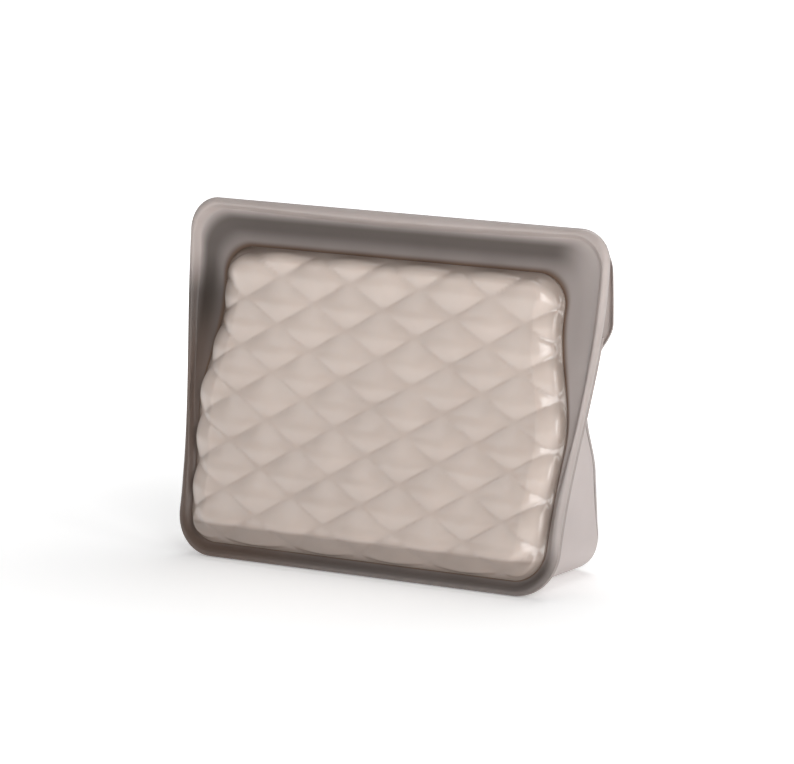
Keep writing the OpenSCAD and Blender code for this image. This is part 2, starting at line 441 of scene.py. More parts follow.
@dataclass(frozen=True)
class MouldedSilicone:
    """Platinum-cured silicone rubber, compression moulded with a smoky pigment.

    Light goes a few millimetres into it, so it looks milky and waxy, and where the eye looks through more
    of it, along an edge, it is darker and browner. Its thick and crease tones also stand for painted shade
    in coves, creases, the pillow's underside and down the left of the front border. Its gloss is the
    mould's polish: a blasted mould gives a satin skin, and a polished one a skin that shines.
    """

    name: str
    thin: str
    thick: str
    crease: str
    roughness: float
    scatter: float = 0.35
    gloss: float = 0.5
    mottle_mm: float = 24.0
    mottle_share: float = 0.045
    grain_mm: float = 1.1
    grain_mm_high: float = 0.1
    grain_depth: float = 0.05
    index: float = 1.41
    travel_mm: float = 3.0
    travel: Triple = (1.0, 0.86, 0.78)

    def material(self) -> bpy.types.Material:
        """Builds the finish as a material.

        Returns:
            The material.
        """
        mat = bpy.data.materials.new(self.name)
        mat.use_nodes = True
        tree = mat.node_tree
        add = partial(add_node, tree)
        shader = tree.nodes["Principled BSDF"]
        place = add("ShaderNodeTexCoord").outputs["Object"]
        mottle = add(
            "ShaderNodeTexNoise",
            {"Vector": place, "Scale": 1 / (self.mottle_mm * MM), "Detail": 3.0, "Roughness": 0.5},
        ).outputs["Fac"]
        self._tint(tree, shader, mottle)
        # the blasted mould's own grain is too fine to show, so it is drawn at about a millimetre
        grain = add(
            "ShaderNodeTexNoise", {"Vector": place, "Scale": 1 / (self.grain_mm * MM), "Detail": 2.0}
        ).outputs["Fac"]
        worn = add(
            MAP_RANGE,
            {"Value": mottle, "From Min": 0.35, "From Max": 0.65, "To Min": self.roughness - 0.04,
             "To Max": self.roughness + 0.05},
        ).outputs["Result"]
        tree.links.new(worn, shader.inputs["Roughness"])
        bump = add(
            "ShaderNodeBump",
            {"Height": grain, "Distance": self.grain_mm_high * MM, "Strength": self.grain_depth},
        ).outputs["Normal"]
        tree.links.new(bump, shader.inputs["Normal"])
        shader.inputs["IOR"].default_value = self.index
        shader.inputs["Subsurface Weight"].default_value = self.scatter
        shader.inputs["Subsurface Radius"].default_value = self.travel
        shader.inputs["Subsurface Scale"].default_value = self.travel_mm * MM
        shader.inputs["Specular IOR Level"].default_value = self.gloss
        return mat

    def _tint(self, tree: bpy.types.NodeTree, shader: bpy.types.Node, mottle: bpy.types.NodeSocket) -> None:
        """Colours the silicone by how much of it the eye looks through, and by painted shade in its coves
        and creases.

        Args:
            tree: The material's nodes.
            shader: Its shader.
            mottle: Slow noise that the colour varies with.
        """
        add = partial(add_node, tree)
        # painted shade: the thickness attribute mixes in the dark thick tone, partly for see-through depth
        # and partly for shade, and the groove attribute mixes in the crease tone as shade
        thickness = add("ShaderNodeAttribute", attribute_name="thickness").outputs["Fac"]
        groove = add("ShaderNodeAttribute", attribute_name="groove").outputs["Fac"]
        base = add(
            "ShaderNodeMix", {0: thickness, 6: linear(self.thin), 7: linear(self.thick)}, data_type="RGBA"
        ).outputs[2]
        crease_shaded = add(
            "ShaderNodeMix", {0: groove, 6: base, 7: linear(self.crease)}, data_type="RGBA"
        ).outputs[2]
        tint = add(
            MAP_RANGE,
            {"Value": mottle, "From Min": 0.3, "From Max": 0.7, "To Min": 1 - self.mottle_share,
             "To Max": 1 + self.mottle_share},
        ).outputs["Result"]
        shaded = add(VECTOR_MATH, {0: crease_shaded, "Scale": tint}, operation="SCALE").outputs["Vector"]
        tree.links.new(shaded, shader.inputs["Base Color"])


class Finishes:
    """The finishes of the bag: one silicone, moulded thick, thin, glossy and satin."""

    def __init__(self) -> None:
        """Builds each finish once."""
        # thick and pigmented right through, from the blasted part of the mould; its dark thick and crease
        # tones are painted shade in the cove, at the foot, beside the pillow and down the left side
        satin = MouldedSilicone(
            "satin_frame_silicone", thin="AEA4A0", thick="362C25", crease="5E4636", roughness=0.42
        )
        self.frame = satin.material()
        # the same, a little smoother from handling
        self.lip = replace(satin, name="satin_lip_silicone", roughness=0.40).material()
        # thin and polished, so it shines, and light from inside makes it pale
        # its thick tone is painted shade on the underside and a see-through tint at the edges, and its
        # crease tone is painted shade in the quilt's creases
        self.pillow = MouldedSilicone(
            "glossy_pillow_silicone", thin="CDBFB6", thick="6B5D53", crease="A39187", roughness=0.17,
            gloss=0.8, scatter=0.75,
        ).material()
        # thin and satin, with the least pigment
        self.tub = MouldedSilicone(
            "satin_tub_silicone", thin="B7ADAA", thick="A0948E", crease="9A8C85", roughness=0.46
        ).material()
        # the press seal, in the shade of the mouth
        self.seal = MouldedSilicone(
            "satin_seal_silicone", thin="9C8D84", thick="85766C", crease="6E6057", roughness=0.38
        ).material()


# ---------------------------------------------------------------- geometry node trees


class ShapeTree:
    """A Geometry Nodes tree with named inputs, which ends in Realize Instances and Set Material."""

    def __init__(self, name: str, inputs: dict[str, tuple[str, object]]) -> None:
        """Makes the tree's inputs and its output, and lets the sub-class fill it.

        Args:
            name: Name of the tree.
            inputs: Each input's kind and first value, by its name.
        """
        tree = bpy.data.node_groups.new(name, "GeometryNodeTree")
        tree.interface.new_socket("Geometry", in_out="INPUT", socket_type="NodeSocketGeometry")
        for label, (kind, value) in inputs.items():
            socket = tree.interface.new_socket(label, in_out="INPUT", socket_type=kind)
            if value is not None:
                socket.default_value = value
        tree.interface.new_socket("Material", in_out="INPUT", socket_type="NodeSocketMaterial")
        tree.interface.new_socket("Geometry", in_out="OUTPUT", socket_type="NodeSocketGeometry")
        self.tree = tree
        self.add = partial(add_node, tree)
        given = self.add("NodeGroupInput").outputs
        made = self.shape(given)
        real = self.add("GeometryNodeRealizeInstances", {"Geometry": made}).outputs[0]
        dressed = self.add(
            "GeometryNodeSetMaterial", {"Geometry": real, "Material": given["Material"]}
        ).outputs[0]
        tree.links.new(dressed, self.add("NodeGroupOutput").inputs[0])

    def shape(self, given: bpy.types.NodeOutputs) -> bpy.types.NodeSocket:
        """Makes the nodes between the tree's inputs and its end; each sub-class has its own.

        Args:
            given: The tree's inputs.

        Returns:
            The geometry that the tree makes.
        """
        raise NotImplementedError

    def put_on(self, piece: bpy.types.Object, material: bpy.types.Material, **sizes: object) -> None:
        """Puts the tree on a piece as a modifier and sets its inputs by their identifiers.

        Args:
            piece: The piece.
            material: Its finish.
            sizes: Values of the named inputs, in metres, with _ for a space.
        """
        modifier = piece.modifiers.new(self.tree.name, "NODES")
        modifier.node_group = self.tree
        values = {name.replace("_", " ").title(): value for name, value in sizes.items()}
        values["Material"] = material
        for item in self.tree.interface.items_tree:
            if item.item_type == "SOCKET" and item.in_out == "INPUT" and item.name in values:
                modifier[item.identifier] = values.pop(item.name)
        if values:
            raise KeyError(", ".join(values))


class QuiltTree(ShapeTree):
    """Geometry Nodes that puff a smooth wall into a quilt of diamonds.

    The diamonds lie between two families of slanted grooves. A diamond rises as the product of its
    height across both families, so it is highest in its middle and falls to a crease all round.
    """

    # beside a pillow's edge, where the surface turns, the quilt puffs this much more
    MOST_PUFF = 1.9
    # powers of a crease's lines: the lower one is, the narrower its line
    UP_LINE = 0.3
    DOWN_LINE = 0.22
    # the lines up to the right fade where others cross them, and those down to the right show less: the
    # painted shade lies mostly on the lines up to the right, which the light leaves darker
    UP_LINE_FADE = 0.6
    DOWN_LINE_SHARE = 0.45
    # how strongly a crease takes its painted shade
    CREASE_SHADE = 0.45

    def __init__(self) -> None:
        """Builds the tree once for both pillows."""
        super().__init__(
            "diamond_quilt",
            {
                "Diamond Width": ("NodeSocketFloat", 0.0318),
                "Diamond Height": ("NodeSocketFloat", 0.0186),
                "First Crossing": ("NodeSocketFloat", 0.028),
                "Puff": ("NodeSocketFloat", 0.001),
                "Softness": ("NodeSocketFloat", 1.0),
                "Edge Softness": ("NodeSocketFloat", 0.6),
            },
        )

    def shape(self, given: bpy.types.NodeOutputs) -> bpy.types.NodeSocket:
        """Pushes the surface out along its normals and stores a painted shade for the creases.

        Args:
            given: The tree's inputs.

        Returns:
            The puffed geometry.
        """
        add = self.add
        place = add("GeometryNodeInputPosition").outputs[0]
        split = add("ShaderNodeSeparateXYZ", {0: place}).outputs
        across = add(MATH, {0: split["X"], 1: given["Diamond Width"]}, operation="DIVIDE").outputs[0]
        height = add(MATH, {0: split["Z"], 1: given["First Crossing"]}, operation="SUBTRACT").outputs[0]
        up = add(MATH, {0: height, 1: given["Diamond Height"]}, operation="DIVIDE").outputs[0]
        rise = self._arch(add(MATH, {0: across, 1: up}, operation="ADD").outputs[0])
        fall = self._arch(add(MATH, {0: across, 1: up}, operation="SUBTRACT").outputs[0])
        both = add(MATH, {0: rise, 1: fall}, operation="MULTIPLY").outputs[0]
        share = add(
            "GeometryNodeInputNamedAttribute", {"Name": "puff_share"}, data_type="FLOAT"
        ).outputs[0]
        softness = add(
            MAP_RANGE,
            {"Value": share, "From Min": 1.0, "From Max": self.MOST_PUFF, "To Min": given["Softness"],
             "To Max": given["Edge Softness"]},
        ).outputs["Result"]
        puff = add(MATH, {0: both, 1: softness}, operation="POWER").outputs[0]
        lifted = add(MATH, {0: puff, 1: share}, operation="MULTIPLY").outputs[0]
        distance = add(MATH, {0: lifted, 1: given["Puff"]}, operation="MULTIPLY").outputs[0]
        normal = add("GeometryNodeInputNormal").outputs[0]
        offset = add(VECTOR_MATH, {0: normal, "Scale": distance}, operation="SCALE").outputs["Vector"]
        # the groove attribute holds the painted crease shade, which the finish mixes in as its crease tone
        stored = add(
            "GeometryNodeStoreNamedAttribute",
            {"Geometry": given["Geometry"], "Name": "groove", "Value": self._crease_shade(rise, fall)},
            data_type="FLOAT", domain="POINT",
        ).outputs[0]
        return add("GeometryNodeSetPosition", {"Geometry": stored, "Offset": offset}).outputs[0]

    def _arch(self, value: bpy.types.NodeSocket) -> bpy.types.NodeSocket:
        """Makes an arch from 0 at each groove to 1 half way to the next.

        Args:
            value: Place across the grooves, which are at its whole numbers.

        Returns:
            The arch.
        """
        turn = self.add(MATH, {0: value}, operation="FRACT").outputs[0]
        doubled = self.add(MATH, {0: turn, 1: 2.0}, operation="MULTIPLY").outputs[0]
        centred = self.add(MATH, {0: doubled, 1: 1.0}, operation="SUBTRACT").outputs[0]
        away = self.add(MATH, {0: centred, 1: centred}, operation="MULTIPLY").outputs[0]
        return self.add(MATH, {0: 1.0, 1: away}, operation="SUBTRACT").outputs[0]

    def _crease_shade(self, rise: bpy.types.NodeSocket, fall: bpy.types.NodeSocket) -> bpy.types.NodeSocket:
        """Makes the painted shade of the creases, from 0 in a diamond's middle.

        Args:
            rise: The arch across the lines of one family.
            fall: The arch across the lines of the other.

        Returns:
            The painted shade.
        """
        add = self.add
        up_far = add(MATH, {0: fall, 1: self.UP_LINE}, operation="POWER").outputs[0]
        up_near = add(MATH, {0: 1.0, 1: up_far}, operation="SUBTRACT").outputs[0]
        fade = add(MATH, {0: rise, 1: self.UP_LINE_FADE}, operation="POWER").outputs[0]
        up_line = add(MATH, {0: up_near, 1: fade}, operation="MULTIPLY").outputs[0]
        down_far = add(MATH, {0: rise, 1: self.DOWN_LINE}, operation="POWER").outputs[0]
        down_near = add(MATH, {0: 1.0, 1: down_far}, operation="SUBTRACT").outputs[0]
        down_line = add(MATH, {0: down_near, 1: self.DOWN_LINE_SHARE}, operation="MULTIPLY").outputs[0]
        both = add(MATH, {0: up_line, 1: down_line}, operation="ADD").outputs[0]
        return add(MATH, {0: both, 1: self.CREASE_SHADE}, operation="MULTIPLY").outputs[0]


class SealTree(ShapeTree):
    """Geometry Nodes that sweep a round-edged bar along the mouth, for the press seal."""

    # radius of the bar's edges as a share of its width
    CORNER_SHARE = 0.36

    def __init__(self) -> None:
        """Builds the tree once for the rib and both ridges."""
        super().__init__(
            "seal_bar",
            {
                "Half Length": ("NodeSocketFloat", 0.08),
                "Bar Width": ("NodeSocketFloat", 0.0015),
                "Bar Height": ("NodeSocketFloat", 0.0016),
                "Place": ("NodeSocketVector", None),
                "Steps": ("NodeSocketInt", 96),
            },
        )

    def shape(self, given: bpy.types.NodeOutputs) -> bpy.types.NodeSocket:
        """Sweeps one bar and joins it to what came in.

        Args:
            given: The tree's inputs.

        Returns:
            The geometry that came in, with the bar.
        """
        add = self.add
        minus = add(MATH, {0: given["Half Length"], 1: -1.0}, operation="MULTIPLY").outputs[0]
        start = add("ShaderNodeCombineXYZ", {0: minus}).outputs[0]
        end = add("ShaderNodeCombineXYZ", {0: given["Half Length"]}).outputs[0]
        line = add("GeometryNodeCurvePrimitiveLine", {"Start": start, "End": end}).outputs[0]
        fine = add("GeometryNodeResampleCurve", {"Curve": line, "Count": given["Steps"]}).outputs[0]
        outline = add(
            "GeometryNodeCurvePrimitiveQuadrilateral",
            {"Width": given["Bar Width"], "Height": given["Bar Height"]},
        ).outputs[0]
        edge = add(MATH, {0: given["Bar Width"], 1: self.CORNER_SHARE}, operation="MULTIPLY").outputs[0]
        rounded = add(
            "GeometryNodeFilletCurve", {"Curve": outline, "Count": 4, "Radius": edge}, mode="POLY"
        ).outputs[0]
        bar = add(
            "GeometryNodeCurveToMesh", {"Curve": fine, "Profile Curve": rounded, "Fill Caps": True}
        ).outputs[0]
        placed = add("GeometryNodeTransform", {"Geometry": bar, "Translation": given["Place"]}).outputs[0]
        both = add("GeometryNodeJoinGeometry")
        self.tree.links.new(placed, both.inputs[0])
        self.tree.links.new(given["Geometry"], both.inputs[0])
        return both.outputs[0]


# ---------------------------------------------------------------- walls


@dataclass(frozen=True)
class BorderSection:
    """The border's section: a bead at its edge and a cove between it and the pillow.

    Of a pair of sizes, the first is for the lower border and the second for the mouth. The peak and the
    cove's start are shares of the bead's width, and the cove's end is a share of the way from the bead to
    the pillow.
    """

    bead_w: tuple[float, float] = (5.6, 6.4)
    bead_h: tuple[float, float] = (1.3, 2.5)
    bead_peak: float = 0.45
    widest_bead: float = 0.94
    cove_d: tuple[float, float] = (0.1, 0.7)
    cove_start: float = 0.3
    cove_end: float = 0.45
    cove_fill: float = 0.85
    thick: tuple[float, float] = (1.9, 1.1)
    edge_round: float = 1.6
    crowding: float = 1.6

    def distances(self, width: np.ndarray, spots: np.ndarray) -> np.ndarray:
        """Spreads points over the section, closer together by its edge.

        Args:
            width: Width of the border at each place round it.
            spots: Even shares of the way from the edge to the pillow.

        Returns:
            Distances from the edge, by place and spot.
        """
        return width[:, None] * spots[None, :] ** self.crowding

    def rise(self, d: np.ndarray, width: np.ndarray, up: np.ndarray, tall: np.ndarray) -> np.ndarray:
        """Works out how far the border's face stands out of the wall.

        Args:
            d: Distances from the edge, by place and spot.
            width: Width of the border at each place round it.
            up: 0 on the lower border and 1 by the mouth, at each place.
            tall: 0 where the bead is low, under the bag, and 1 where it is full.

        Returns:
            How far the face stands out, by place and spot.
        """
        bead_w = np.minimum(mix(*self.bead_w, up), width * self.widest_bead)
        s = np.clip(d / bead_w[:, None], 0.0, 1.0)
        climb = np.sqrt(np.clip(1 - (1 - s / self.bead_peak) ** 2, 0.0, None))
        fall = 0.5 + 0.5 * np.cos(np.pi * (s - self.bead_peak) / (1 - self.bead_peak))
        bead = np.where(s < self.bead_peak, climb, fall)
        room = np.maximum(width - bead_w, 0.01)[:, None]
        rest = np.clip((d - bead_w[:, None]) / room, 0.0, 1.0)
        cove = ease(self.cove_start, 1.0, s) * (1 - self.cove_fill * ease(self.cove_end, 1.0, rest))
        return mix(*self.bead_h, tall)[:, None] * bead - mix(*self.cove_d, up)[:, None] * cove

    def thickness(self, d: np.ndarray, up: np.ndarray) -> np.ndarray:
        """Works out the border's thickness, which runs out in a round at its edge.

        Args:
            d: Distances from the edge, by place and spot.
            up: 0 on the lower border and 1 by the mouth, at each place.

        Returns:
            The thickness, by place and spot.
        """
        to_edge = 1 - np.clip(d / self.edge_round, 0.0, 1.0)
        return mix(*self.thick, up)[:, None] * np.sqrt(np.clip(1 - to_edge**2, 0, 1))


@dataclass
class Wall:
    """One wall of the bag: a quilted pillow in a frame with a cove, a beaded lip and half the seal.

    The front and the rear wall are sub-classes, each with its own edge and tint. A triple of pillow
    sizes is for its sides, its foot and its top.

    Attributes:
        lip_drop: How far the lip's top is below the bag's.
        pillow_sink: Depth that the smooth pillow leaves for its quilt.
        crown: How much further out the pillow's middle is than its sides.
        softness: Power of a diamond's roundness, in the pillow's middle and by its edge.
        full_bead_z: Heights between which the bead grows from its low form to its full one.
        lip_share: Share of the border's section that belongs to the lip.
        edge_reach: Width of the tinted edge of the pillow, and the same on the left by the mouth, where its
            tint is painted shade.
        seal_in: Distance of the seal bars' middle from the wall's outer face.
        hold_x: Distance from the middle to the ends of the seal bars.
    """

    form: BagForm
    side: Side
    body: str
    prefix: str
    pillow_low: float
    seal_name: str
    seal_bar: tuple[float, float]
    seal_spread: tuple[float, ...]
    lip_drop: float = 0.0
    lip_corner: float = 12.5
    foot_z: float = 0.4
    foot_corner: float = 17.0
    pillow_round: Triple = (10.0, 9.0, 4.6)
    pillow_bend: Triple = (1.32, 1.15, 1.9)
    pillow_sink: float = 0.9
    pillow_rows: int = 104
    pillow_columns: int = 193
    corner: float = 13.0
    crown: float = 1.0
    diamond: tuple[float, float] = (31.8, 18.6)
    first_crossing: float = 28.0
    puff: float = 1.15
    softness: tuple[float, float] = (1.05, 0.6)
    section: BorderSection = BorderSection()
    full_bead_z: tuple[float, float] = (14.0, 34.0)
    mouth_z: tuple[float, float] = (92.0, 118.0)
    lip_share: float = 0.52
    ring_spots: int = 30
    # the pillow's edge tint: see-through depth all round, and painted shade on the left by the mouth
    edge_reach: tuple[float, float] = (5.5, 8.5)
    edge_tint_and_shade: tuple[float, float] = (0.66, 1.0)
    # heights and strength of the painted shade on the pillow's underside
    underside_z: tuple[float, float] = (8.4, 9.6)
    underside_painted_shade: float = 0.60
    # painted shade on the lower border, and painted brown shade down its left side
    lower_smoke_and_shade: float = 0.66
    brown_shade_on_left: float = 0.5
    seal_z: float = 128.5
    seal_in: float = 2.4
    hold_x: float = 80.0

    def outer_inset(self, z: Number) -> Number:
        """How far the wall's edge is inside the bag's sides; each wall has its own."""
        raise NotImplementedError

    def pillow_inset(self, z: Number) -> Number:
        """How far the pillow's edge is inside the bag's sides; each wall has its own."""
        raise NotImplementedError

    def tint(self, x: np.ndarray, z: np.ndarray, up: np.ndarray) -> tuple[np.ndarray, np.ndarray]:
        """How the border is tinted; each wall has its own.

        Args:
            x: Distance of each point from the middle.
            z: Height of each point.
            up: 0 on the lower border and 1 by the mouth.

        Returns:
            How much of the light comes through as by the mouth, and the strength of the smoky tint.
        """
        raise NotImplementedError

    def build(self, quilt: QuiltTree, seal: SealTree, finishes: Finishes) -> None:
        """Builds, dresses and enters every piece of the wall.

        Args:
            quilt: The quilting.
            seal: The seal's sweep.
            finishes: The finishes.
        """
        name, split = self.prefix, self.lip_share
        made = [
            (self.pillow(quilt, finishes.pillow), "pillow_silicone", [name + "_pillow"]),
            (self.border_ring(name + "_lip", 0.0, split, finishes.lip), "lip_silicone", [name + "_lip"]),
            (self.border_ring(name + "_frame", split, 1.0, finishes.frame), "frame_silicone",
             [name + "_frame", name + "_flange"]),
            (self.seal_bars(seal, finishes.seal), "seal_silicone", [self.seal_name]),
        ]
        for piece, slot, nodes in made:
            bow_from_sides(piece)
            enter(piece, slot, *nodes)

    def pillow(self, quilt: QuiltTree, material: bpy.types.Material) -> bpy.types.Object:
        """Makes the quilted pillow: a rounded wall, puffed and given its thickness.

        Args:
            quilt: The quilting.
            material: The finish.

        Returns:
            The pillow.
        """
        form, low, high, r = self.form, self.pillow_low, self.form.pillow_top, self.corner
        arc = r * (1 - np.cos(quarter(16)))
        middle = np.linspace(low + r, high - r, self.pillow_rows)
        z = np.concatenate([low + arc[:-1], middle, high - arc[-2::-1]])
        drop = np.minimum(z - low, high - z)
        inward = r - np.sqrt(np.clip(r**2 - np.clip(r - drop, 0.0, None) ** 2, 0.0, None))
        edge = form.side_x(z) - self.pillow_inset(z)
        t = np.linspace(-1.0, 1.0, self.pillow_columns)
        # the columns stand closer together by the edges, where the pillow turns
        x = (edge - inward)[:, None] * mix(np.sin(t * math.pi / 2), t, 0.62)[None, :]
        z = np.repeat(z[:, None], len(t), 1)
        rim, out = self._pillow_out(x, z, edge[:, None])
        y = form.wall_y(self.side, z, x) + self.side.value * out
        faces = grid_faces(*z.shape)
        if self.side is Side.REAR:
            faces = [tuple(reversed(face)) for face in faces]
        # the quilt starts a little inside the edge and puffs most where the pillow turns
        puff_share = ease(0.0, 3.0, rim) * mix(QuiltTree.MOST_PUFF, 1.0, ease(0.0, 14.0, rim))
        # painted shade on the pillow's underside, which turns down away from the light, where the eye also
        # looks through more of it
        from_z, to_z = self.underside_z
        underside = self.underside_painted_shade * (1 - ease(low + from_z, low + to_z, z))
        thickness = np.maximum(self._see_through_edge_and_shade(x, z, rim), underside)
        tones = {"puff_share": puff_share.ravel(), "thickness": thickness.ravel()}
        piece = make_object(self.prefix + "_pillow", np.stack([x, y, z], 2).reshape(-1, 3), faces, tones)
        quilt.put_on(
            piece, material, diamond_width=self.diamond[0] * MM, diamond_height=self.diamond[1] * MM,
            first_crossing=self.first_crossing * MM, puff=self.puff * MM, softness=self.softness[0],
            edge_softness=self.softness[1],
        )
        bake_modifiers(piece)
        solid = piece.modifiers.new("wall", "SOLIDIFY")
        solid.thickness = form.wall * MM
        solid.offset = -1.0
        bake_modifiers(piece)
        outward(piece)
        return piece

    def _pillow_out(self, x: np.ndarray, z: np.ndarray, edge: np.ndarray) -> tuple[np.ndarray, np.ndarray]:
        """Works out how far each point of the pillow stands out of the wall.

        Args:
            x: Distance of each point from the middle.
            z: Height of each point.
            edge: Half width of the pillow at each height, without its corners.

        Returns:
            Distances from the pillow's edge, and from the wall.
        """
        r, low, high = self.corner, self.pillow_low, self.form.pillow_top
        beside = np.clip(1 - (edge - np.abs(x)) / r, 0.0, 1.0)
        below = np.clip(1 - (z - low) / r, 0.0, 1.0)
        above = np.clip(1 - (high - z) / r, 0.0, 1.0)
        end = np.maximum(below, above)
        rim = r * (1 - np.clip(np.hypot(beside, end), 0.0, 1.0))
        # in a corner the round of the side passes into that of the foot or the top
        share = end**2 / (beside**2 + end**2 + 1e-6)
        side_w, low_w, top_w = self.pillow_round
        side_p, low_p, top_p = self.pillow_bend
        round_w = mix(side_w, np.where(below > above, low_w, top_w), share)
        bend = mix(side_p, np.where(below > above, low_p, top_p), share)
        near = np.clip(rim / round_w, 0.0, 1.0)
        out = (self.form.pillow_depth - self.pillow_sink) * (1 - (1 - near) ** bend)
        from_middle = (z - (high + low) / 2) / ((high - low) / 2)
        bulge = (1 - (x / edge) ** 2) * (1 - from_middle**2)
        return rim, out + self.crown * np.clip(bulge, 0.0, 1.0)

    def _see_through_edge_and_shade(self, x: np.ndarray, z: np.ndarray, rim: np.ndarray) -> np.ndarray:
        """Works out the tint of a pillow's edge, where the eye looks through it at the border behind, with
        painted shade on the left by the mouth.

        Args:
            x: Distance of each point from the middle.
            z: Height of each point.
            rim: Distance of each point from the pillow's edge.

        Returns:
            The tint, strongest and widest by the mouth on the left, where it is painted shade.
        """
        shaded = ease(66.0, 92.0, z) * (1 - ease(-66.0, -50.0, x))
        reach = mix(*self.edge_reach, shaded)
        return mix(*self.edge_tint_and_shade, shaded) * (1 - ease(0.0, 1.0, rim / reach))

    def border_ring(
        self, name: str, start: float, stop: float, material: bpy.types.Material
    ) -> bpy.types.Object:
        """Makes one band of the border as a closed ring, between two shares of its section.

        Args:
            name: Name of the piece.
            start: Share of the section where the band starts, from the edge.
            stop: Share where it ends; 1 is the pillow's edge.
            material: The finish.

        Returns:
            The ring.
        """
        form = self.form
        rim = Corners(self.foot_z, form.height - self.lip_drop, self.foot_corner, self.lip_corner)
        pillow = Corners(self.pillow_low, form.pillow_top, self.corner, self.corner)
        outer = closed_loop(half_outline(form, self.outer_inset, rim))
        span = closed_loop(half_outline(form, self.pillow_inset, pillow)) - outer
        width = np.linalg.norm(span, axis=1)
        way = span / width[:, None]
        up = ease(*self.mouth_z, outer[:, 1])
        tall = np.maximum(ease(*self.full_bead_z, outer[:, 1]), up)
        d = self.section.distances(width, np.linspace(start, stop, self.ring_spots))
        out = self.section.rise(d, width, up, tall)
        thick = self.section.thickness(d, up)
        x = outer[:, 0:1] + way[:, 0:1] * d
        z = outer[:, 1:2] + way[:, 1:2] * d
        plane = form.wall_y(self.side, z, x)
        face = np.stack([x, plane + self.side.value * out, z], 2)
        back = np.stack([x, plane + self.side.value * (out - thick), z], 2)
        tones = self._border_tones(d / width[:, None], x, z, up[:, None])
        loops = np.concatenate([face, back[:, ::-1]], 1)
        return make_tube(name, loops, tones, material, ring=True)

    def _border_tones(
        self, across: np.ndarray, x: np.ndarray, z: np.ndarray, up: np.ndarray
    ) -> dict[str, np.ndarray]:
        """Works out what the finish reads on the border: its smoky thickness with painted shade, and a
        painted brown shade.

        Args:
            across: Shares of the way from the edge to the pillow.
            x: Distance of each point from the middle.
            z: Height of each point.
            up: 0 on the lower border and 1 by the mouth.

        Returns:
            Values for the face and the back, by attribute name.
        """
        # painted shade, darkest in the cove, and again a little paler beside the pillow
        cove = ease(0.20, 0.46, across) * (1 - 0.42 * ease(0.58, 0.9, across))
        # the front border's smoky tint also carries painted shade on its left and at its foot, and painted
        # light on its right
        lit, smoke = self.tint(x, z, up)
        dark = mix(self.lower_smoke_and_shade + 0.2 * cove, cove, lit) * smoke
        # painted brown shade where the border meets the pillow, and down the left side, which the light
        # misses
        left_shade = (1 - ease(70.0, 105.0, z)) * (1 - ease(-70.0, 0.0, x))
        brown = np.maximum(ease(0.86, 1.0, across), self.brown_shade_on_left * left_shade)
        tones = {"thickness": dark, "groove": brown}
        return {key: np.concatenate([tone, tone[:, ::-1]], 1).ravel() for key, tone in tones.items()}

    def seal_bars(self, seal: SealTree, material: bpy.types.Material) -> bpy.types.Object:
        """Makes the wall's half of the press seal, one bar for each height in seal_spread.

        Args:
            seal: The seal's sweep.
            material: The finish.

        Returns:
            The bars as one piece.
        """
        y = float(self.form.wall_y(self.side, self.seal_z)) - self.side.value * self.seal_in
        width, height = self.seal_bar
        piece = make_object(self.seal_name, np.zeros((0, 3)), [])
        for rise in self.seal_spread:
            seal.put_on(
                piece, material, half_length=self.hold_x * MM, bar_width=width * MM,
                bar_height=height * MM, place=(0.0, y * MM, (self.seal_z + rise) * MM),
            )
        bake_modifiers(piece)
        return piece


@dataclass
class FrontWall(Wall):
    """The front wall, which is as wide as the bag and carries the seal's rib."""

    side: Side = Side.FRONT
    body: str = "front_wall"
    prefix: str = "front"
    pillow_low: float = 6.0
    seal_name: str = "seal_rib"
    seal_bar: tuple[float, float] = (1.5, 1.5)
    seal_spread: tuple[float, ...] = (0.0,)
    border_low: float = 5.5
    # strengths of the border's smoky tint, which paints shade on the left and at the foot and paints light
    # on the right
    foot_smoke_and_shade: float = 0.95
    mouth_smoke: float = 0.82
    left_smoke_and_shade: float = 0.75
    right_smoke_and_light: float = 0.14
    left_shoulder_shade: float = 1.15
    left_lip_shade: float = 0.78

    def outer_inset(self, z: Number) -> Number:
        """How far the wall's edge is inside the bag's sides: it reaches them."""
        return 0.0 * z

    def pillow_inset(self, z: Number) -> Number:
        """How far the pillow's edge is inside the bag's sides."""
        return self.form.border(self.border_low, z)

    def tint(self, x: np.ndarray, z: np.ndarray, up: np.ndarray) -> tuple[np.ndarray, np.ndarray]:
        """Tints the border unevenly, with painted shade on its left side and foot and painted light on its
        right.

        Args:
            x: Distance of each point from the middle.
            z: Height of each point.
            up: 0 on the lower border and 1 by the mouth.

        Returns:
            How much of the light comes through as by the mouth, and the strength of the smoky tint with its
            painted shade and light.
        """
        lit = np.where(x < 0, ease(100.0, 119.0, z), up)
        across = np.clip(x / 90.0, -1.0, 1.0)
        left_end = mix(self.left_shoulder_shade, self.left_lip_shade, ease(100.0, 120.0, z))
        left = mix(self.mouth_smoke, left_end, ease(0.75, 0.98, -across))
        right = mix(self.mouth_smoke, self.right_smoke_and_light, ease(0.78, 0.98, across))
        by_mouth = np.where(across < 0, left, right)
        by_side = np.where(across < 0, self.left_smoke_and_shade, self.right_smoke_and_light)
        low = mix(self.foot_smoke_and_shade, by_side, ease(9.0, 24.0, z))
        return lit, mix(low, by_mouth, ease(60.0, 100.0, z))


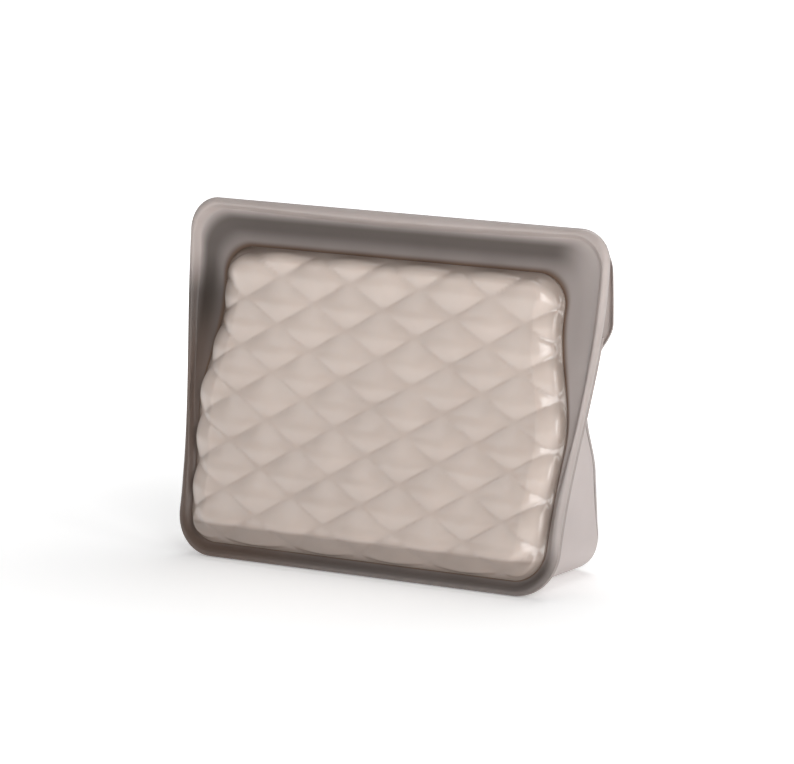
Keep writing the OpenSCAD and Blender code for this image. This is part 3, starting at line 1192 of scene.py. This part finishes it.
@dataclass
class RearWall(Wall):
    """The rear wall, narrow beside the tub and wide by the mouth, with the seal's two ridges."""

    side: Side = Side.REAR
    body: str = "rear_wall"
    prefix: str = "rear"
    pillow_low: float = 2.6
    seal_name: str = "seal_channel"
    seal_bar: tuple[float, float] = (1.4, 1.5)
    seal_spread: tuple[float, ...] = (-1.9, 1.9)
    lip_drop: float = 1.5
    lip_corner: float = 15.0
    pillow_round: Triple = (10.0, 9.0, 5.5)
    wing_inset: float = 1.8
    wing_z: tuple[float, float] = (80.0, 103.0)
    edge_w: float = 2.5
    smoke: tuple[float, float] = (0.22, 0.75)

    def outer_inset(self, z: Number) -> Number:
        """How far the wall's edge is inside the bag's sides: beside the tub it is the tub's."""
        return mix(self.form.rear_side(z), self.wing_inset, ease(*self.wing_z, z))

    def pillow_inset(self, z: Number) -> Number:
        """How far the pillow's edge is inside the bag's sides."""
        return self.form.border(self.form.rear_side(z) + self.edge_w, z)

    def tint(self, x: np.ndarray, z: np.ndarray, up: np.ndarray) -> tuple[np.ndarray, np.ndarray]:
        """Tints the border evenly across, and more by the mouth.

        Args:
            x: Distance of each point from the middle.
            z: Height of each point.
            up: 0 on the lower border and 1 by the mouth.

        Returns:
            How much of the light comes through as by the mouth, and the strength of the smoky tint.
        """
        return up, mix(*self.smoke, ease(84.0, 116.0, z))


# ---------------------------------------------------------------- tub


@dataclass
class Tub:
    """The moulded tub between the walls: base, gussets, bonded rim and side seams.

    Attributes:
        front_gap: How far the gussets and the base start behind the front wall's face.
        rear_gap: The same before the rear wall's face, low on the bag; top_rear_gap is for its top.
        close_z: Height from which the gussets draw in to the side seams.
        bow: How far a gusset's middle is drawn in.
        flare: How far its front edge is turned out, over flare_share of its depth.
    """

    form: BagForm
    corner: float = 16.0
    front_gap: float = 1.7
    rear_gap: float = 0.4
    top_rear_gap: float = 1.5
    top_z: tuple[float, float] = (78.0, 94.0)
    close_z: float = 80.0
    bow: float = 1.1
    bow_z: tuple[float, float] = (10.0, 40.0)
    flare: float = 1.4
    flare_z: tuple[float, float] = (8.0, 26.0)
    flare_share: float = 0.13
    seam_inset: float = 7.0
    seam_top: float = 134.0
    seam_top_inset: float = 3.0
    seam_round: float = 0.8
    rim_width: float = 10.5
    rim_thick: float = 2.0
    rim_round: float = 0.9
    rim_gap: float = 1.75
    rim_inset: float = 0.5
    rim_corner: float = 17.0
    rim_foot: float = 1.6

    def build(self, finishes: Finishes) -> None:
        """Builds, dresses and enters every piece of the tub.

        Args:
            finishes: The finishes.
        """
        tub, frame_finish = finishes.tub, finishes.frame
        made = [
            (self.gusset("right_gusset", False, tub), "right_gusset", "tub_silicone"),
            (self.gusset("left_gusset", True, tub), "left_gusset", "tub_silicone"),
            (self.rim(frame_finish), "tub_rim", "frame_silicone"),
            (self.side_seam("right_side_seam", False, frame_finish), "right_side_seam", "frame_silicone"),
            (self.side_seam("left_side_seam", True, frame_finish), "left_side_seam", "frame_silicone"),
            (self.base(tub), "tub_base", "tub_silicone"),
        ]
        for piece, node, slot in made:
            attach(piece, "tub")
            enter(piece, slot, node)

    def front_inset(self, z: Number) -> Number:
        """How far the gusset's front edge is inside the bag's sides: it closes on the side seam."""
        return mix(self.form.tub_inset, self.seam_inset, ease(self.close_z, self.form.seam_z, z))

    def rear_inset(self, z: Number) -> Number:
        """How far the gusset's rear edge is inside the bag's sides."""
        return mix(self.form.rear_side(z), self.seam_inset, ease(self.close_z + 2.0, self.form.seam_z, z))

    def _side_line(self, inset: Rule, skin: float) -> np.ndarray:
        """Draws the right-hand edge of the tub's wall, from the end of its base to the side seam.

        Args:
            inset: How far the edge is inside the bag's sides, by height.
            skin: 0 on the outside of the wall, and the wall's thickness on its inside.

        Returns:
            Points of X and Z.
        """
        r, steps = self.corner - skin, 60
        angle = quarter(24)
        z_side = np.linspace(skin + r, self.form.seam_z, steps + 1)[1:]
        z = np.concatenate([skin + r * (1 - np.cos(angle)), z_side])
        lean_in = np.concatenate([r * (1 - np.sin(angle)), np.zeros(steps)])
        return np.stack([self.form.side_x(z) - inset(z) - skin - lean_in, z], 1)

    def gusset(self, name: str, mirror: bool, material: bpy.types.Material) -> bpy.types.Object:
        """Makes one side wall with its lower corner as a closed shell.

        Args:
            name: Name of the piece.
            mirror: Whether it is the left one.
            material: The finish.

        Returns:
            The piece.
        """
        form = self.form
        v = np.linspace(0.0, 1.0, 41)
        skins = []
        for skin in (0.0, form.wall):
            front = self._side_line(self.front_inset, skin)
            rear = self._side_line(self.rear_inset, skin)
            z_front, z_rear = front[:, 1], rear[:, 1]
            gap = mix(self.rear_gap, self.top_rear_gap, ease(*self.top_z, z_rear))
            y_front = form.wall_y(Side.FRONT, z_front) + self.front_gap
            y_rear = form.wall_y(Side.REAR, z_rear) - gap
            bow = self.bow * np.sin(np.pi * v)[None, :] * ease(*self.bow_z, z_front)[:, None]
            by_front = 1 - ease(0.0, self.flare_share, v)
            flare = self.flare * by_front[None, :] * ease(*self.flare_z, z_front)[:, None]
            x = mix(front[:, 0:1], rear[:, 0:1], v[None, :]) - bow + flare
            y = mix(y_front[:, None], y_rear[:, None], v[None, :])
            z = mix(z_front[:, None], z_rear[:, None], v[None, :])
            skins.append(np.stack([x, y, z], 2))
        # painted shade: the gusset is darker along its front strip, where it meets the frame
        near = 1 - ease(0.0, 0.16, v)
        tone = 0.9 * np.tile(np.concatenate([near, near[::-1]]), len(skins[0]))
        loops = np.concatenate([skins[0], skins[1][:, ::-1]], 1)
        if mirror:
            loops = loops * np.array([-1.0, 1.0, 1.0])
        return make_tube(name, loops, {"thickness": tone}, material)

    def base(self, material: bpy.types.Material) -> bpy.types.Object:
        """Makes the base that the bag stands on, from one lower corner to the other.

        Args:
            material: The finish.

        Returns:
            The base.
        """
        form = self.form
        u = np.linspace(-1.0, 1.0, 61)
        v = np.linspace(0.0, 1.0, 31)
        skins = []
        for skin in (0.0, form.wall):
            front = self._side_line(self.front_inset, skin)[0, 0]
            rear = self._side_line(self.rear_inset, skin)[0, 0]
            x = u[:, None] * mix(front, rear, v)[None, :]
            y_front = form.wall_y(Side.FRONT, skin) + self.front_gap
            y_rear = form.wall_y(Side.REAR, skin) - self.rear_gap
            y = np.repeat(mix(y_front, y_rear, v)[None, :], len(u), 0)
            skins.append(np.stack([x, y, np.full_like(x, skin)], 2))
        loops = np.concatenate([skins[0], skins[1][:, ::-1]], 1)
        return make_tube("tub_base", loops, {"thickness": 0.2}, material)

    def rim(self, material: bpy.types.Material) -> bpy.types.Object:
        """Makes the bonded rim: a flat band with a round edge behind the front frame.

        Args:
            material: The finish.

        Returns:
            The rim.
        """
        form = self.form
        # both outlines are cut off at the side seams, so their upper corners don't show
        outside = Corners(0.0, form.height, self.rim_corner, 12.5)
        inside = Corners(self.rim_foot, form.height, self.rim_corner - 2.0, 12.5)
        edge = half_outline(form, lambda z: self.rim_inset + 0.0 * z, outside)
        inner = half_outline(form, lambda z: self.rim_width + 0.0 * z, inside)
        keep = (edge[:, 1] <= form.seam_z) & (inner[:, 1] <= form.seam_z)
        edge, inner = open_run(edge[keep]), open_run(inner[keep])
        width = np.linalg.norm(inner - edge, axis=1)
        way = (inner - edge) / width[:, None]
        turn = np.radians(np.linspace(0.0, 180.0, 13))
        inward = [np.full(len(width), self.rim_round * (1 - math.sin(a))) for a in turn]
        rise = [self.rim_thick * (1 - math.cos(a)) / 2 for a in turn]
        rings = []
        for distance, up in zip(inward + [width, width], rise + [self.rim_thick, 0.0]):
            x, z = (edge + way * distance[:, None]).T
            rings.append(np.stack([x, form.wall_y(Side.FRONT, z) + self.rim_gap + up, z], 1))
        return make_tube("tub_rim", np.stack(rings, 1), {"thickness": 0.25}, material)

    def side_seam(self, name: str, mirror: bool, material: bpy.types.Material) -> bpy.types.Object:
        """Makes one fused end of the mouth, between the walls' flanges.

        Args:
            name: Name of the piece.
            mirror: Whether it is the left one.
            material: The finish.

        Returns:
            The piece.
        """
        form = self.form
        z = np.linspace(form.seam_z - 0.2, self.seam_top, 40)
        front = form.wall_y(Side.FRONT, z, form.width / 2) + form.wall
        rear = form.wall_y(Side.REAR, z, form.width / 2) - form.wall
        middle, half = (front + rear) / 2, (rear - front) / 2
        inset = mix(self.seam_inset, self.seam_top_inset, ease(form.seam_z, 114.0, z))
        x_out = form.side_x(z) - inset
        x_in = form.side_x(z) - self.rim_width + 0.6
        rings = [np.stack([x_in, front, z], 1)]
        for a in np.radians(np.linspace(-90.0, 90.0, 13)):
            x = x_out - self.seam_round * (1 - math.cos(a))
            rings.append(np.stack([x, middle + half * math.sin(a), z], 1))
        rings.append(np.stack([x_in, rear, z], 1))
        loops = np.stack(rings, 1)
        if mirror:
            loops = loops * np.array([-1.0, 1.0, 1.0])
        return make_tube(name, loops, {"thickness": 0.8}, material)


# ---------------------------------------------------------------- studio


@dataclass(frozen=True)
class Softbox:
    """One soft light, in metres and watts; shine is its share in the gloss."""

    name: str
    place: Triple
    size: tuple[float, float]
    power: float
    shine: float = 1.0
    aim_z: float = 0.07

    def build(self) -> None:
        """Makes the light and aims it at the bag."""
        light = bpy.data.lights.new(self.name, "AREA")
        light.shape = "RECTANGLE"
        light.size, light.size_y = self.size
        light.energy = self.power
        light.specular_factor = self.shine
        lamp = bpy.data.objects.new(self.name, light)
        lamp.location = self.place
        away = Vector(self.place) - Vector((0.0, 0.0, self.aim_z))
        lamp.rotation_euler = away.to_track_quat("Z", "Y").to_euler()
        bpy.context.scene.collection.objects.link(lamp)


@dataclass(frozen=True)
class Studio:
    """Pale floor, soft lights and the camera of a white product table, in metres."""

    turn: float = 31.3
    height: float = 10.15
    distance: float = 1.912
    lens: float = 221.0
    target: Triple = (-0.0013, 0.00225, 0.0722)
    table: float = 6.0
    glow_r: tuple[float, float] = (0.10, 0.5)
    glow: tuple[float, float] = (0.28, 0.9)
    sky_light: float = 0.22
    lights: tuple[Softbox, ...] = (
        Softbox("key_right", (0.92, -0.92, 0.42), (0.46, 1.0), 8.5),
        Softbox("strip_right", (1.15, -0.30, 0.30), (0.22, 0.9), 3.0),
        Softbox("fill_left", (-0.9, -1.2, 0.8), (0.6, 0.6), 1.3, shine=0.0),
        Softbox("top", (0.0, 0.40, 1.05), (0.8, 0.8), 6.0, shine=0.6, aim_z=0.1),
    )

    def build(self) -> None:
        """Makes the camera, the floor, the sky and the lights."""
        self._camera()
        self._floor()
        self._sky()
        for light in self.lights:
            light.build()
        bpy.context.scene.view_settings.view_transform = "Standard"

    def _camera(self) -> None:
        """Makes the camera, a long lens well away from the bag."""
        turn, up = math.radians(self.turn), math.radians(self.height)
        back = Vector((math.sin(turn) * math.cos(up), -math.cos(turn) * math.cos(up), math.sin(up)))
        camera = bpy.data.objects.new("camera", bpy.data.cameras.new("camera"))
        camera.data.lens = self.lens
        camera.data.sensor_width = 36.0
        camera.data.clip_end = 20.0
        camera.location = Vector(self.target) + back * self.distance
        camera.rotation_euler = back.to_track_quat("Z", "Y").to_euler()
        bpy.context.scene.collection.objects.link(camera)
        bpy.context.scene.camera = camera

    def _floor(self) -> None:
        """Makes a wide white table, which glows towards its edges so that it meets the surround."""
        s = self.table
        mesh = bpy.data.meshes.new("table")
        mesh.from_pydata([(-s, -s, 0), (s, -s, 0), (s, s, 0), (-s, s, 0)], [], [(0, 1, 2, 3)])
        floor = bpy.data.objects.new("table", mesh)
        bpy.context.scene.collection.objects.link(floor)
        mat = bpy.data.materials.new("white_table")
        mat.use_nodes = True
        tree = mat.node_tree
        shader = tree.nodes["Principled BSDF"]
        shader.inputs["Base Color"].default_value = linear("FAFAFA")
        shader.inputs["Roughness"].default_value = 0.7
        shader.inputs["Emission Color"].default_value = (1.0, 1.0, 1.0, 1.0)
        spot = add_node(tree, "ShaderNodeTexCoord").outputs["Object"]
        away = add_node(tree, VECTOR_MATH, {0: spot}, operation="LENGTH").outputs["Value"]
        glow = add_node(
            tree, MAP_RANGE,
            {"Value": away, "From Min": self.glow_r[0], "From Max": self.glow_r[1],
             "To Min": self.glow[0], "To Max": self.glow[1]},
            interpolation_type="SMOOTHSTEP",
        ).outputs["Result"]
        tree.links.new(glow, shader.inputs["Emission Strength"])
        mesh.materials.append(mat)

    def _sky(self) -> None:
        """Makes an even white surround, which lights less than it shows."""
        world = bpy.data.worlds.new("surround")
        bpy.context.scene.world = world
        world.use_nodes = True
        tree = world.node_tree
        seen = add_node(tree, "ShaderNodeLightPath").outputs["Is Camera Ray"]
        strength = add_node(
            tree, MAP_RANGE, {"Value": seen, "To Min": self.sky_light, "To Max": 1.0}
        ).outputs["Result"]
        ground = tree.nodes["Background"]
        ground.inputs["Color"].default_value = (1.0, 1.0, 1.0, 1.0)
        tree.links.new(strength, ground.inputs["Strength"])


# ---------------------------------------------------------------- assembly


def main() -> None:
    """Builds the bag and its studio."""
    logging.basicConfig(level=logging.INFO, format="%(name)s: %(message)s")
    Studio().build()
    low, high = CAD_BOX
    span = (high - low) / MM
    form = BagForm(width=span.x, depth=span.y, height=span.z)
    finishes, quilt, seal = Finishes(), QuiltTree(), SealTree()
    FrontWall(form).build(quilt, seal, finishes)
    RearWall(form).build(quilt, seal, finishes)
    Tub(form).build(finishes)


if __name__ == "__main__":
    main()
